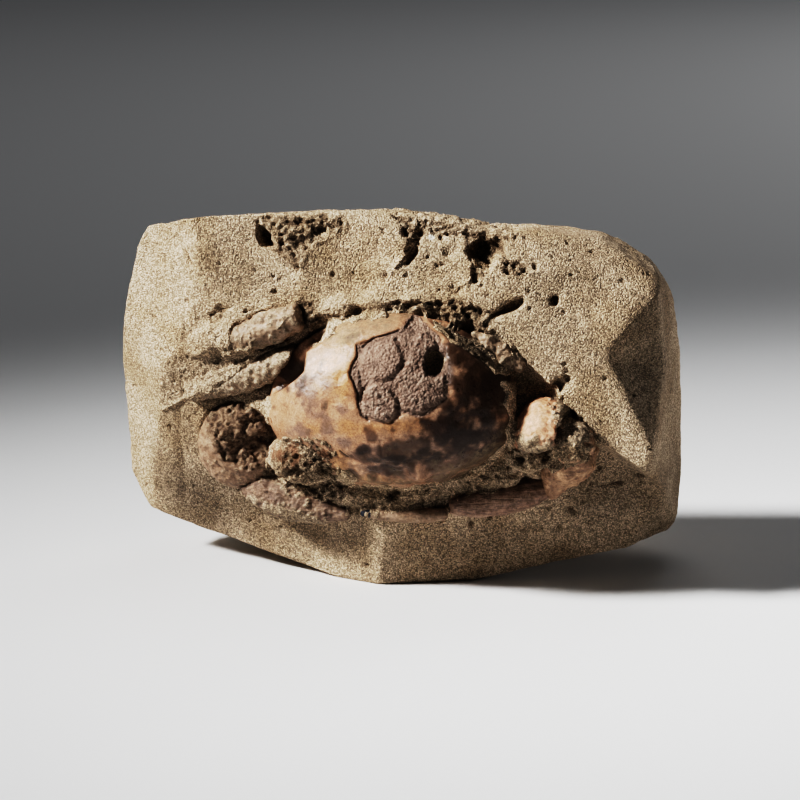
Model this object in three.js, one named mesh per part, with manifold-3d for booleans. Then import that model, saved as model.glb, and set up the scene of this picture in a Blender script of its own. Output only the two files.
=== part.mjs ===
// A fossil crab in its block of sandstone, trimmed by hand so that the crab stands out of one face.
//
// The crab lies in the stone with its front edge towards the foot of the block. Its vaulted carapace
// is whole but for a patch where the outer shell has flaked away. Both claws are folded in front of
// it, and stumps of the walking legs show above. The block rests on a small flat foot.
// Units are millimetres, +Z is up, -Y is the side that the crab looks out of.

import * as THREE from "three";
import { mergeVertices } from "three/addons/utils/BufferGeometryUtils.js";
import Module from "manifold-3d";

const wasm = await Module();
wasm.setup();

// ---- Driving dimensions ----

const BLOCK_BACK = 25; // y of the flat back
const BLOCK_DEPTH = 75; // of the rough blank, before its front is trimmed
const CLEARANCE = 0.3; // between touching pieces

// The worked face is not square to the back. It is laid out facing the front, then every point of it
// comes forward and up by these shares of its distance to the right of the pivot.
const FACE = { pivot: -30, forward: 0.153, up: 0.041 };

const SHELL = {
  centre: new THREE.Vector3(-2, -17, 47),
  halfWidth: 32,
  toRear: 25.6, // from the widest line up to the rear edge
  toFront: 20, // and down to the front edge
  vault: 18.6,
  belly: 9,
  thickness: 0.8, // of the outer layer that has flaked away
};

const STONE = { color: 0xb9a588, roughness: 0.95, metalness: 0 };
const CARAPACE = { color: 0xa97e5a, roughness: 0.45, metalness: 0 };
const CLAW = { color: 0xa88468, roughness: 0.6, metalness: 0 };
const LEG = { color: 0xb59a80, roughness: 0.7, metalness: 0 };

// ---- From three.js geometry to solids and back ----

const vec = (x, y, z) => new THREE.Vector3(x, y, z);

function solidOf(geometry) {
  const bare = geometry.index ? geometry.toNonIndexed() : geometry.clone();
  bare.deleteAttribute("normal");
  bare.deleteAttribute("uv");
  const merged = mergeVertices(bare, 1e-4);
  return new wasm.Manifold(
    new wasm.Mesh({
      numProp: 3,
      vertProperties: merged.attributes.position.array,
      triVerts: new Uint32Array(merged.index.array),
    }),
  );
}

function geometryOf(solid) {
  const mesh = solid.getMesh();
  const points = new Float32Array(mesh.numVert * 3);
  for (let i = 0; i < mesh.numVert; i++) {
    for (let k = 0; k < 3; k++) points[3 * i + k] = mesh.vertProperties[mesh.numProp * i + k];
  }
  const geometry = new THREE.BufferGeometry();
  geometry.setAttribute("position", new THREE.BufferAttribute(points, 3));
  geometry.setIndex(new THREE.BufferAttribute(mesh.triVerts, 1));
  geometry.computeVertexNormals();
  return geometry;
}

// Moves every vertex of a geometry to where rule(point) puts it.
function shaped(geometry, rule) {
  const position = geometry.attributes.position;
  const point = new THREE.Vector3();
  for (let i = 0; i < position.count; i++) {
    point.fromBufferAttribute(position, i);
    rule(point);
    position.setXYZ(i, point.x, point.y, point.z);
  }
  return geometry;
}

// Turns what has been laid out facing the front into the plane of the worked face.
function turned(solid) {
  return solidOf(
    shaped(geometryOf(solid), (p) => {
      const right = p.x - FACE.pivot;
      p.y -= FACE.forward * right;
      p.z += FACE.up * right;
    }),
  );
}

// Gives the y at which a line of sight from the front meets the solid.
function sightOf(solid) {
  const target = new THREE.Mesh(geometryOf(solid));
  const ray = new THREE.Raycaster();
  return (x, z) => {
    ray.set(vec(x, -100, z), vec(0, 1, 0));
    return ray.intersectObject(target)[0].point.y;
  };
}

// ---- Tools that shape the stone ----

const WIDE = 400; // larger than the block in every direction

const swing = (from, to) => new THREE.Quaternion().setFromUnitVectors(from, to.normalize());

// All that lies outside a plane: subtracting it leaves one flat facet.
function beyond({ faces, through }) {
  const box = new THREE.BoxGeometry(WIDE, WIDE, WIDE);
  box.translate(0, 0, WIDE / 2);
  box.applyQuaternion(swing(vec(0, 0, 1), vec(...faces)));
  box.translate(...through);
  return solidOf(box);
}

// A straight-sided body over an outline seen from the front.
function prism(outline, front, back) {
  const shape = new THREE.Shape(outline.map(([x, z]) => new THREE.Vector2(x, z)));
  const body = new THREE.ExtrudeGeometry(shape, { depth: back - front, bevelEnabled: false });
  body.rotateX(Math.PI / 2);
  body.translate(0, back, 0);
  return solidOf(body);
}

// A rounded lump or hollow with the given radii, leaning by a turn about Y.
function pebble(centre, radii, lean = 0, detail = 3) {
  const ball = new THREE.IcosahedronGeometry(1, detail);
  ball.scale(...radii);
  ball.rotateY(lean);
  ball.translate(...centre);
  return solidOf(ball);
}

// The shallow dish that a round-nosed chisel leaves: a large ball sunk by a small depth.
function dish(point, faces, radius, depth) {
  const ball = new THREE.IcosahedronGeometry(radius, Math.round(radius / 7));
  ball.translate(...vec(...point).addScaledVector(vec(...faces).normalize(), radius - depth));
  return solidOf(ball);
}

// A straight trench or rib with round ends.
function rib(from, to, radius) {
  const a = vec(...from);
  const b = vec(...to);
  const body = new THREE.CapsuleGeometry(radius, a.distanceTo(b), 3, 12);
  body.applyQuaternion(swing(vec(0, 1, 0), b.clone().sub(a)));
  body.translate(...a.add(b).multiplyScalar(0.5));
  return solidOf(body);
}

// ---- The crab's own pieces. Each takes how far it is grown, to cut its own seat in the stone ----

// A hump of unit height at (cx, cz), fading out over rx and rz.
const hump = (x, z, cx, cz, rx, rz) => Math.exp(-(((x - cx) / rx) ** 2) - ((z - cz) / rz) ** 2);

// A vaulted closed form over the carapace's outline, sunk below the outer surface. The relief takes
// the place on the outline, from -1 to 1 each way, and gives how far the surface is raised there.
function vaultedForm(sunk, sectors, rings, relief) {
  const { centre, halfWidth, toRear, toFront, vault, belly } = SHELL;
  const dome = new THREE.SphereGeometry(1, sectors, rings);
  shaped(dome, (p) => {
    const outward = (p.y < 0 ? vault : belly) - sunk;
    const height = (p.z > 0 ? toRear : toFront) - sunk;
    const raised = relief(p.x, p.z) * Math.max(0, -p.y);
    p.set(p.x * (halfWidth - sunk), p.y * outward - raised, p.z * height);
    p.add(centre);
  });
  return solidOf(dome);
}

// The whole shell is pressed in at its lower left, and has low lobes along its front edge.
const pressedIn = (x, z) => -3.2 * hump(x, z, -0.68, -0.55, 0.34, 0.36);
const outerRelief = (x, z) => pressedIn(x, z) + 0.45 * Math.cos(17 * x) * hump(0, z, 0, -0.86, 1, 0.14);

// The inner layer shows three swellings, with a groove that winds between them.
function innerRelief(x, z) {
  const rear = hump(x, z, -0.06, 0.62, 0.2, 0.26);
  const left = hump(x, z, -0.12, 0.14, 0.13, 0.15);
  const right = hump(x, z, 0.24, 0.3, 0.18, 0.24);
  return 1.1 * (rear + left + right) - 0.75;
}

// The outline of the flaked patch, seen from the front.
const FLAKED_PATCH = [
  [-8, 49], [-10.4, 52.6], [-11.6, 57.8], [-12.6, 60.3], [-10.8, 64.4], [-10.6, 67], [-6.3, 68.3],
  [-0.5, 69.7], [3.8, 72.3], [9.4, 69], [11.6, 65], [12.4, 60.9], [12, 54.7], [8, 51.2],
  [4.5, 49.3], [0.8, 50.9], [-2.5, 48.1],
];

function carapace() {
  const outer = vaultedForm(0, 34, 20, outerRelief);
  const inner = vaultedForm(SHELL.thickness, 30, 18, innerRelief);
  const flake = prism(FLAKED_PATCH, -60, -18).subtract(inner);
  const hole = pebble([8.6, -31, 62.7], [2.1, 6.4, 3], 0.2, 2);
  const chip = pebble([-9, -33, 55.5], [0.9, 3, 2.2], 0.3, 1);
  const knob = pebble([5.5, -25, 33.4], [3.6, 4.4, 2.8], 0.3, 2);
  return outer.subtract(flake).subtract(hole).subtract(chip).add(knob);
}

const carapaceSeat = () => vaultedForm(-0.75, 28, 14, () => 0);

// A finger, arm or leg: round in section, its radius set along its length, bent by a small sag.
function limb({ from, to, radii, wide = 1, sag = 0, sides = 12 }, grow) {
  const a = vec(...from);
  const b = vec(...to);
  const length = a.distanceTo(b);
  const ring = (r, i) => new THREE.Vector2(r + grow, (i / (radii.length - 1)) * (length + 2 * grow) - grow);
  const profile = [new THREE.Vector2(0, -grow), ...radii.map(ring), new THREE.Vector2(0, length + grow)];
  const body = shaped(new THREE.LatheGeometry(profile, sides), (p) => {
    const share = p.y / length;
    p.x *= wide;
    p.x += sag * 4 * share * (1 - share);
  });
  const along = b.clone().sub(a).normalize();
  const outward = vec(0, -1, 0).addScaledVector(along, along.y).normalize();
  const across = outward.clone().cross(along);
  body.applyMatrix4(new THREE.Matrix4().makeBasis(across, along, outward.negate()).setPosition(a));
  return solidOf(body);
}

const LEFT_FINGER = {
  from: [-41.5, -12.5, 26], to: [-13.2, -21, 19.4],
  radii: [2.6, 4.6, 5.2, 4.4, 3, 1.2], sag: -1,
};
const RIGHT_ARM = {
  from: [34.6, -18.6, 50], to: [38, -21, 38.6],
  radii: [2.8, 6.4, 8.8, 9.4, 7.8],
};
const RIGHT_PALM = {
  from: [46, -16.4, 42.4], to: [38.2, -19.6, 24.4],
  radii: [3.6, 6.8, 7.6, 6.4, 3.6, 0.9],
};
const RIGHT_FINGER = {
  from: [39.4, -14.2, 25.6], to: [13.4, -20, 21.8],
  radii: [1.6, 2.9, 3.4, 3.3, 2.8, 1.5], sag: 0.6,
};
const RIGHT_FIXED_FINGER = {
  from: [11.8, -20.8, 20.1], to: [-9.8, -22.6, 20.9],
  radii: [1.3, 1.6, 1.4, 1.1, 0.5], sag: 0.7, sides: 8,
};
const LEFT_FRONT_LEG = {
  from: [-45.5, -14.6, 63.4], to: [-25.8, -18.6, 72.2],
  radii: [2.8, 3.7, 4, 4, 3.4],
};
const LEFT_REAR_LEG = {
  from: [-55, -10.4, 49.6], to: [-22.6, -18, 62],
  radii: [2, 3.4, 4, 4, 2.8],
};
const RIGHT_REAR_LEG = {
  from: [18, -18, 66.6], to: [31, -18, 58.4],
  radii: [1.2, 2.4, 2.4, 1.2], wide: 1.2, sides: 10,
};

// The left claw's palm is a thick crust round a hollow, broken open towards the front.
const leftPalm = (grow) => pebble([-41.2, -10.5, 36], [12 + grow, 8.4 + grow, 12.4 + grow], 0.5);
const brokenPalm = () =>
  leftPalm(0)
    .subtract(pebble([-35.4, -20.5, 39.6], [7.6, 7, 8.2], 0.4, 2))
    .subtract(pebble([-42.4, -20.6, 38], [7.4, 4.6, 8.8], 0.4, 2))
    .add(pebble([-37.6, -14, 41.4], [2.8, 3.2, 2.4], 0.4, 2));

// The right arm ends in a hollow, and the knob at the root of the palm sits in it.
const rightArm = (grow) =>
  limb(RIGHT_ARM, grow).subtract(pebble([47.5, -27, 42], [9 - grow, 12, 11 - grow], 0, 2));

const rightPalm = (grow) =>
  limb(RIGHT_PALM, grow).add(pebble([43.4, -21.6, 39.6], [6 + grow, 6 + grow, 5.6 + grow], 0, 2));

// ---- The stone ----

// The block's outline seen from the front, from its foot round the left side.
const OUTLINE = [
  [-17, 0], [-38, 4.8], [-54, 8.2], [-68, 12], [-74, 19], [-74.8, 33], [-75, 48],
  [-74.4, 60], [-72.4, 73], [-69.5, 84.5], [-65.5, 92.4], [-52, 95.4], [-29, 97.2], [0, 96.8],
  [14, 95], [22, 93.2], [29, 92.6], [35, 93], [52, 91], [66, 82.6], [71, 75.4], [74.4, 59],
  [75.6, 42], [75.8, 23], [74.6, 13], [71.5, 9.6], [64, 9], [42.4, 4.8], [20, 0],
];

// Flat facets left by trimming: the way each one faces, and a point that it passes through.
const FACE_FACETS = [
  { faces: [-0.05, -0.99, 0.1], through: [0, -21, 45] },
  { faces: [-0.25, -0.96, 0.1], through: [-45, -15.5, 58] },
  { faces: [-0.03, -0.94, 0.35], through: [-10, -16.9, 72] },
  { faces: [0.1, -0.94, 0.33], through: [40, -15.2, 74] },
  { faces: [0.03, -0.98, 0.14], through: [42, -18.6, 58] },
  { faces: [-0.36, -0.9, -0.24], through: [-4.5, -19.9, 12] },
];
const OUTER_FACETS = [
  // left side
  { faces: [-0.7, -0.7, 0.16], through: [-54, -8.2, 72] },
  { faces: [-0.8, -0.58, -0.1], through: [-60.5, -4.6, 44] },
  { faces: [-0.62, -0.6, -0.5], through: [-63.4, -7, 13.9] },
  // right side
  { faces: [0.96, -0.26, 0.03], through: [69.8, -13.6, 45] },
  { faces: [0.6, -0.6, -0.5], through: [69, -8, 12] },
  // top
  { faces: [-0.1, -0.6, 0.8], through: [-40, -9.5, 93] },
  { faces: [0.03, -0.62, 0.78], through: [10, -13.5, 92.6] },
  { faces: [0.45, -0.45, 0.77], through: [64, -14, 87.5] },
  { faces: [-0.05, 0.3, 0.95], through: [-20, -1, 96] },
  { faces: [0.1, 0.36, 0.93], through: [20, -1, 94.6] },
  // back
  { faces: [0, 0.8, 0.6], through: [0, 18, 84] },
  { faces: [-0.75, 0.66, 0.05], through: [-71.5, 18, 50] },
  { faces: [-0.4, 0.8, 0.45], through: [-58, 20, 86] },
  { faces: [0.7, 0.71, 0.06], through: [66, 17, 50] },
  { faces: [0.42, 0.82, 0.38], through: [48, 17, 78] },
  { faces: [-0.45, 0.6, -0.66], through: [-55, 19, 8.6] },
  { faces: [0.3, 0.7, -0.65], through: [50, 17, 10] },
  { faces: [0.03, 0.87, -0.5], through: [0, 22, 5] },
];

// Notches are cut in front of two planes at once, and leave a step or a valley between them.
const NOTCHES = [
  // under the right claw, as far as the ridge that runs down to the right
  [
    { faces: [0.25, -0.92, -0.3], through: [-4.5, -19.9, 12] },
    { faces: [-0.54, -0.25, -0.8], through: [45, -18, 42.5] },
  ],
  // the hollow on the right, beyond that ridge
  [
    { faces: [0.6, -0.76, -0.25], through: [52, -19.4, 66] },
    { faces: [0.75, -0.6, 0.45], through: [51.6, -19.4, 60] },
  ],
  // round the left claw, as far as the rear leg
  [
    { faces: [-0.28, -0.96, -0.05], through: [-50, -11.5, 38] },
    { faces: [0.3, -0.3, -0.9], through: [-45, -14, 51.5] },
  ],
];

// The sunk floor round the carapace, with a steep step at its rear edge.
const BASIN = [
  [-29, 66], [-25, 73.4], [-17, 75.2], [-10, 76.6], [-2, 76], [4, 77.4], [9.5, 75.4],
  [13.5, 72], [18.5, 70], [23, 62], [22, 40], [-24, 40],
];
const BASIN_FLOOR = -16.2;

// Dishes: where on the front, the way each one faces, its radius and its depth.
const DISHES = [
  { at: [-42, 82.5], faces: [0.03, -0.93, 0.33], radius: 60, depth: 1.6 },
  { at: [-9, 83.5], faces: [-0.12, -0.9, 0.4], radius: 50, depth: 1.5 },
  { at: [11, 82], faces: [-0.05, -0.92, 0.36], radius: 34, depth: 1.2 },
  { at: [47, 78], faces: [0.08, -0.94, 0.33], radius: 70, depth: 1.4 },
  { at: [-24, 10], faces: [-0.36, -0.9, -0.24], radius: 80, depth: 0.8 },
];

const TRENCHES = () => [
  rib([-60, -13, 44.6], [-22, -20.5, 58], 4.2),
  rib([-46, -16.4, 58.6], [-27, -20.4, 66.6], 1.5),
  rib([14, -21, 68], [25, -19.5, 60.5], 3.6),
  rib([25, -19.5, 60.5], [42, -18, 43.5], 4.7),
  rib([28, -22, 51.5], [35, -22, 43], 3.2),
];

// Stone left standing: what covers part of the crab, and rough ledges beside it.
const LEDGES = () => [
  pebble([-22.6, -18.5, 36], [12, 11, 8], -0.2, 2),
  pebble([-48, -13, 65.2], [8.6, 4.6, 4.2], -0.42, 2),
  rib([18.5, -18, 62.5], [27.5, -17.5, 52], 2.2),
  rib([-19, -17.5, 28], [27, -17, 30.6], 4.6),
  pebble([32.4, -21, 35.4], [5.6, 5.6, 3.8], 0.2, 2),
];

// Pits: where on the front, radii, how the pit leans, and its detail.
const PITS = [
  { at: [22.3, 86.8], radii: [3.7, 8, 4.4], lean: 0.25, detail: 3 },
  { at: [19.6, 81.6], radii: [0.9, 3, 2.6], lean: 0.3, detail: 1 },
  { at: [-34.8, 90.6], radii: [2.1, 4.4, 3.2], lean: -0.5, detail: 2 },
  { at: [-29.6, 86.4], radii: [1.5, 2.6, 2.2], lean: -0.7, detail: 1 },
  { at: [-20, 92.2], radii: [2, 3, 1.4], lean: -0.5, detail: 1 },
  { at: [-25.5, 89.4], radii: [3.6, 1.6, 2], lean: 0.5, detail: 1 },
  { at: [2.8, 87.6], radii: [1.3, 3.6, 3], lean: 0.5, detail: 1 },
  { at: [8.2, 91.8], radii: [4, 1.8, 1.6], lean: 0.1, detail: 1 },
  { at: [12.6, 87.2], radii: [2, 2, 2.2], lean: 0.4, detail: 1 },
  { at: [29.6, 88.4], radii: [2.4, 1.8, 1.6], lean: 0.3, detail: 1 },
  { at: [14.4, 78.2], radii: [2.4, 1.6, 1.8], lean: 0.8, detail: 1 },
  { at: [-46.4, 73.4], radii: [2.1, 3.4, 0.9], lean: -0.15, detail: 1 },
  { at: [28.2, 74.2], radii: [3.1, 3, 0.9], lean: -0.42, detail: 1 },
  { at: [39.3, 74.7], radii: [1.5, 4.4, 1.6], lean: 0, detail: 2 },
  { at: [42, 54.4], radii: [2.6, 1.6, 1.8], lean: 0.2, detail: 2 },
  { at: [57.6, 25.4], radii: [3.2, 2, 0.5], lean: -0.05, detail: 1 },
];

// The front half of the stone, as it is laid out before it is turned into place.
function workedFace() {
  let stone = solidOf(new THREE.BoxGeometry(WIDE, WIDE, WIDE));
  for (const facet of FACE_FACETS) stone = stone.subtract(beyond(facet));
  for (const [floor, wall] of NOTCHES) stone = stone.subtract(beyond(floor).intersect(beyond(wall)));
  const untouched = sightOf(stone);
  for (const { at: [x, z], faces, radius, depth } of DISHES) {
    stone = stone.subtract(dish([x, untouched(x, z), z], faces, radius, depth));
  }
  stone = stone.subtract(prism(BASIN, -60, BASIN_FLOOR));
  for (const trench of TRENCHES()) stone = stone.subtract(trench);
  for (const ledge of LEDGES()) stone = stone.add(ledge);
  const surface = sightOf(stone);
  for (const { at: [x, z], radii, lean, detail } of PITS) {
    stone = stone.subtract(pebble([x, surface(x, z), z], radii, lean, detail));
  }
  return stone;
}

function trimmedStone() {
  const blank = prism(OUTLINE, BLOCK_BACK - BLOCK_DEPTH, BLOCK_BACK);
  const stone = blank.intersect(turned(workedFace()));
  return OUTER_FACETS.reduce((left, facet) => left.subtract(beyond(facet)), stone);
}

// ---- Assembly ----

const limbOf = (shape) => (grow) => limb(shape, grow);

const crab = [
  { name: "carapace", solid: carapace(), seat: carapaceSeat(), finish: CARAPACE },
  { name: "left_claw_palm", solid: brokenPalm(), seat: leftPalm(CLEARANCE), finish: CLAW },
  { name: "left_claw_finger", make: limbOf(LEFT_FINGER), finish: CLAW },
  { name: "right_claw_arm", make: rightArm, finish: CLAW },
  { name: "right_claw_palm", make: rightPalm, finish: CLAW },
  { name: "right_claw_finger", make: limbOf(RIGHT_FINGER), finish: CLAW },
  { name: "right_claw_fixed_finger", make: limbOf(RIGHT_FIXED_FINGER), finish: CLAW },
  { name: "left_front_leg", make: limbOf(LEFT_FRONT_LEG), finish: LEG },
  { name: "left_rear_leg", make: limbOf(LEFT_REAR_LEG), finish: LEG },
  { name: "right_rear_leg", make: limbOf(RIGHT_REAR_LEG), finish: LEG },
];

// Where two pieces of the crab press on each other, the later one is cut to fit the earlier.
let stone = trimmedStone();
crab.forEach((piece, i) => {
  piece.solid ??= piece.make(0);
  piece.seat ??= piece.make(CLEARANCE);
  for (const earlier of crab.slice(0, i)) piece.solid = piece.solid.subtract(earlier.seat);
  stone = stone.subtract(turned(piece.seat));
});

const group = new THREE.Group();

function addMesh(name, solid, finish) {
  const mesh = new THREE.Mesh(geometryOf(solid), new THREE.MeshStandardMaterial(finish));
  mesh.name = name;
  group.add(mesh);
}

addMesh("sandstone_block", stone, STONE);
for (const { name, solid, finish } of crab) addMesh(name, turned(solid), finish);

// The origin is under the middle of the whole, on the surface that it stands on.
const box = new THREE.Box3().setFromObject(group);
const middle = box.getCenter(new THREE.Vector3());
group.position.set(-middle.x, -middle.y, -box.min.z);

export default group;
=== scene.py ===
# A fossil crab, standing out of one face of a block of sandstone that was trimmed by hand.
#
# The sections follow the fossil: the sandstone that holds the crab, the crab's carapace, its two
# claws and its walking legs, then the floor, the light and the camera.
import math

import bmesh
import bpy
import numpy as np
from mathutils import Matrix, Vector, kdtree, noise


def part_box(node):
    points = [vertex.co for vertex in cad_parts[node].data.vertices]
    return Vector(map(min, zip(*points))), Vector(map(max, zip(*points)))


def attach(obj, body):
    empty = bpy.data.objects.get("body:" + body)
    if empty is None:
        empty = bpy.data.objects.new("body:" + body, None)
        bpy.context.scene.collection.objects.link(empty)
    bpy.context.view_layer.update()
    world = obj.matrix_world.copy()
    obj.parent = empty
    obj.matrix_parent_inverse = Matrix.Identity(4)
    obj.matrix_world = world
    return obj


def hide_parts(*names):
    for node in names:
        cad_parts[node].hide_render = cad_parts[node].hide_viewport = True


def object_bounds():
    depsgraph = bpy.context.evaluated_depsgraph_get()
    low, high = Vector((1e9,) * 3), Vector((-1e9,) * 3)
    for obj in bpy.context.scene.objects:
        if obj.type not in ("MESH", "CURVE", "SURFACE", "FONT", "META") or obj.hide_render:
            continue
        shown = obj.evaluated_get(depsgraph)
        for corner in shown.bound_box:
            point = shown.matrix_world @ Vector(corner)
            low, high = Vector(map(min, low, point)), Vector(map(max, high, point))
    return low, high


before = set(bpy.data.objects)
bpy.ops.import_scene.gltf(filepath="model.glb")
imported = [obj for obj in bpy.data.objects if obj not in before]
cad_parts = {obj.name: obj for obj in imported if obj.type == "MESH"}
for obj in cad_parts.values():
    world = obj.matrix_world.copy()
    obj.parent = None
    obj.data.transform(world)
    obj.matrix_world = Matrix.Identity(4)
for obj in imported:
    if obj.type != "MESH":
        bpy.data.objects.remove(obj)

cad_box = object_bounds()


# ---- Sandstone block ----
# A block of fine yellow-grey sandstone, chiselled down round the crab that is buried in it. Its
# facets are worn soft, its grain is coarse enough to see, and where it split by itself it is rubble.

MM = 0.001
SAND = (0.575, 0.462, 0.348)

# The worked face is turned on the block: to the right it comes up by one share of the way and
# forward by another. Places on it are given in millimetres: right of the crab's middle line, up from
# the surface below and, where it matters, out of the block from a plane through its middle.
FACE_RISE = 0.041
FACE_TURN = 0.153
FACE_DEPTH = 3.5
shell_low, shell_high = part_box("carapace")
MIDDLE = (shell_low.x + shell_high.x) / 2


def solid_copy(name, *nodes):
    """One new object of the given solids, with their loose triangles merged."""
    shape = bmesh.new()
    for each in nodes:
        shape.from_mesh(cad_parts[each].data)
    bmesh.ops.remove_doubles(shape, verts=shape.verts, dist=0.001 * MM)
    mesh = bpy.data.meshes.new(name)
    shape.to_mesh(mesh)
    shape.free()
    piece = bpy.data.objects.new(name, mesh)
    bpy.context.collection.objects.link(piece)
    return piece


def modifier(piece, kind, **settings):
    """Adds a modifier of this kind to a piece."""
    made = piece.modifiers.new(kind.title(), kind)
    for name, value in settings.items():
        setattr(made, name, value)


def apply_modifiers(piece):
    """Makes what the modifiers give the piece's own mesh."""
    bpy.context.view_layer.update()
    finished = piece.evaluated_get(bpy.context.evaluated_depsgraph_get())
    mesh = bpy.data.meshes.new_from_object(finished)
    piece.modifiers.clear()
    piece.data = mesh


def points_of(piece):
    """The places of a piece's points, one row each."""
    points = np.empty(len(piece.data.vertices) * 3)
    piece.data.vertices.foreach_get("co", points)
    return points.reshape(-1, 3)


def normals_of(piece):
    """The outward directions at a piece's points, one row each."""
    normals = np.empty(len(piece.data.vertices) * 3, np.float32)
    piece.data.vertex_normals.foreach_get("vector", normals)
    return normals.reshape(-1, 3)


def move_to(piece, points):
    """Puts a piece's points in new places."""
    piece.data.vertices.foreach_set("co", points.ravel())
    piece.data.update()


def raise_by(piece, heights):
    """Moves every point outwards by its own height in millimetres."""
    move_to(piece, points_of(piece) + normals_of(piece) * (heights * MM)[:, None])


def thin_out(piece, most):
    """Leaves at most this many triangles, fewest where the surface is plain, inside the part's box."""
    triangles = sum(len(face.vertices) - 2 for face in piece.data.polygons)
    if triangles > most:
        modifier(piece, "DECIMATE", ratio=most / triangles)
        apply_modifiers(piece)
    move_to(piece, np.clip(points_of(piece), np.array(cad_box[0]), np.array(cad_box[1])))


def smooth_where(piece, name, weights, iterations):
    """Smooths a piece as much as the weights of its points say, which go from 0 to 1."""
    group = piece.vertex_groups.new(name=name)
    for quarter in range(1, 5):
        chosen = np.flatnonzero(np.rint(4 * weights) == quarter)
        group.add(chosen.tolist(), quarter / 4, "REPLACE")
    modifier(piece, "SMOOTH", factor=0.5, iterations=iterations, vertex_group=name)
    apply_modifiers(piece)


def search_tree(points):
    """A tree that finds the points near a place."""
    tree = kdtree.KDTree(len(points))
    for index, point in enumerate(points):
        tree.insert(point, index)
    tree.balance()
    return tree


def on_face(points):
    """How far right and how far up on the face the points lie, in millimetres."""
    right = (points[:, 0] - MIDDLE) / MM
    return right, points[:, 2] / MM - FACE_RISE * right


def add_bank(piece, right, up, out, radii, lean):
    """Adds an egg-shaped bank of sand to a piece, with its radii to the right, up and out."""
    shape = bmesh.new()
    shape.from_mesh(piece.data)
    place = MM * Vector((right, FACE_DEPTH - out - FACE_TURN * right, up + FACE_RISE * right))
    place.x += MIDDLE
    turn = Matrix.Rotation(-lean, 4, "Y")
    size = Matrix.Diagonal((radii[0] * MM, radii[2] * MM, radii[1] * MM, 1))
    bmesh.ops.create_icosphere(
        shape, subdivisions=3, radius=1, matrix=Matrix.Translation(place) @ turn @ size)
    shape.to_mesh(piece.data)
    shape.free()


def oval(right, up, at, radii, lean=0):
    """1 in the middle of an oval, 0.37 on its edge and 0 well outside it."""
    c, s = math.cos(lean), math.sin(lean)
    x, y = right - at[0], up - at[1]
    return np.exp(-(((x * c + y * s) / radii[0]) ** 2) - ((y * c - x * s) / radii[1]) ** 2)


def distance_to(right, up, stops):
    """How many millimetres a place on the face lies from a line through the stops."""
    nearest = np.full(len(right), np.inf)
    for (ax, ay), (bx, by) in zip(stops, stops[1:]):
        dx, dy = bx - ax, by - ay
        share = np.clip(((right - ax) * dx + (up - ay) * dy) / (dx * dx + dy * dy), 0, 1)
        nearest = np.minimum(nearest, np.hypot(right - ax - share * dx, up - ay - share * dy))
    return nearest


def line(right, up, stops, width):
    """1 on a line through the stops, fading over its width to each side."""
    return np.exp(-((distance_to(right, up, stops) / width) ** 2))


def inside(right, up, outline):
    """How many millimetres a place lies inside an outline, or less than 0 outside it."""
    closed = outline + outline[:1]
    within = np.zeros(len(right), bool)
    for (ax, ay), (bx, by) in zip(closed, closed[1:]):
        crosses = (ay > up) != (by > up)
        within ^= crosses & (right < ax + (up - ay) * (bx - ax) / (by - ay or 1e-9))
    nearest = distance_to(right, up, closed)
    return np.where(within, nearest, -nearest)


def clouds(points, size, octaves):
    """Soft noise between about -1 and 1, with lumps this many millimetres apart."""
    scale = 1 / (size * MM)
    return np.array([noise.fractal(Vector(p) * scale, 1, 2, octaves) for p in points])


def crumbs(points, size):
    """1 in the middle of rounded crumbs this many millimetres across, and about 0 between them."""
    scale = 1 / (size * MM)
    return np.array([1 - 1.2 * noise.voronoi(Vector(p) * scale)[0][0] for p in points])


def ramp(values, low, high):
    """0 below low, 1 above high, with a soft rise between."""
    share = np.clip((values - low) / (high - low), 0, 1)
    return share * share * (3 - 2 * share)


def keep(piece, name, values):
    """Keeps a value for each point, for a material to read."""
    attribute = piece.data.attributes.new(name, "FLOAT", "POINT")
    attribute.data.foreach_set("value", np.asarray(values, np.float32))


def coat(piece, material):
    """Gives a whole piece one material and a smooth surface."""
    piece.data.shade_smooth()
    piece.data.materials.clear()
    piece.data.materials.append(material)


# Outlines on the face: the sand on the knob of the right claw and on the arm above it, and the corner
# where the stone still buries the shell.
KNOB_SAND = [
    (38.2, 36.5), (39.6, 38.9), (41.4, 42.1), (43.8, 43.8), (46.8, 44.2), (48.8, 42.6), (50.1, 38.1),
    (49.6, 36.1), (46.3, 35.5), (42.6, 34.2), (40.6, 33),
]
ARM_SAND = [(39, 51.6), (43.6, 48.6), (46.4, 46.4), (43.6, 44.6), (41.4, 46.2)]
BURIED_CORNER = [
    (8, 73.8), (9.5, 72), (12.6, 69.6), (14.5, 67.8), (18.4, 66), (22.1, 63.4), (26, 59.4), (31, 57),
    (31, 66), (20, 73), (12, 76),
]

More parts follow.
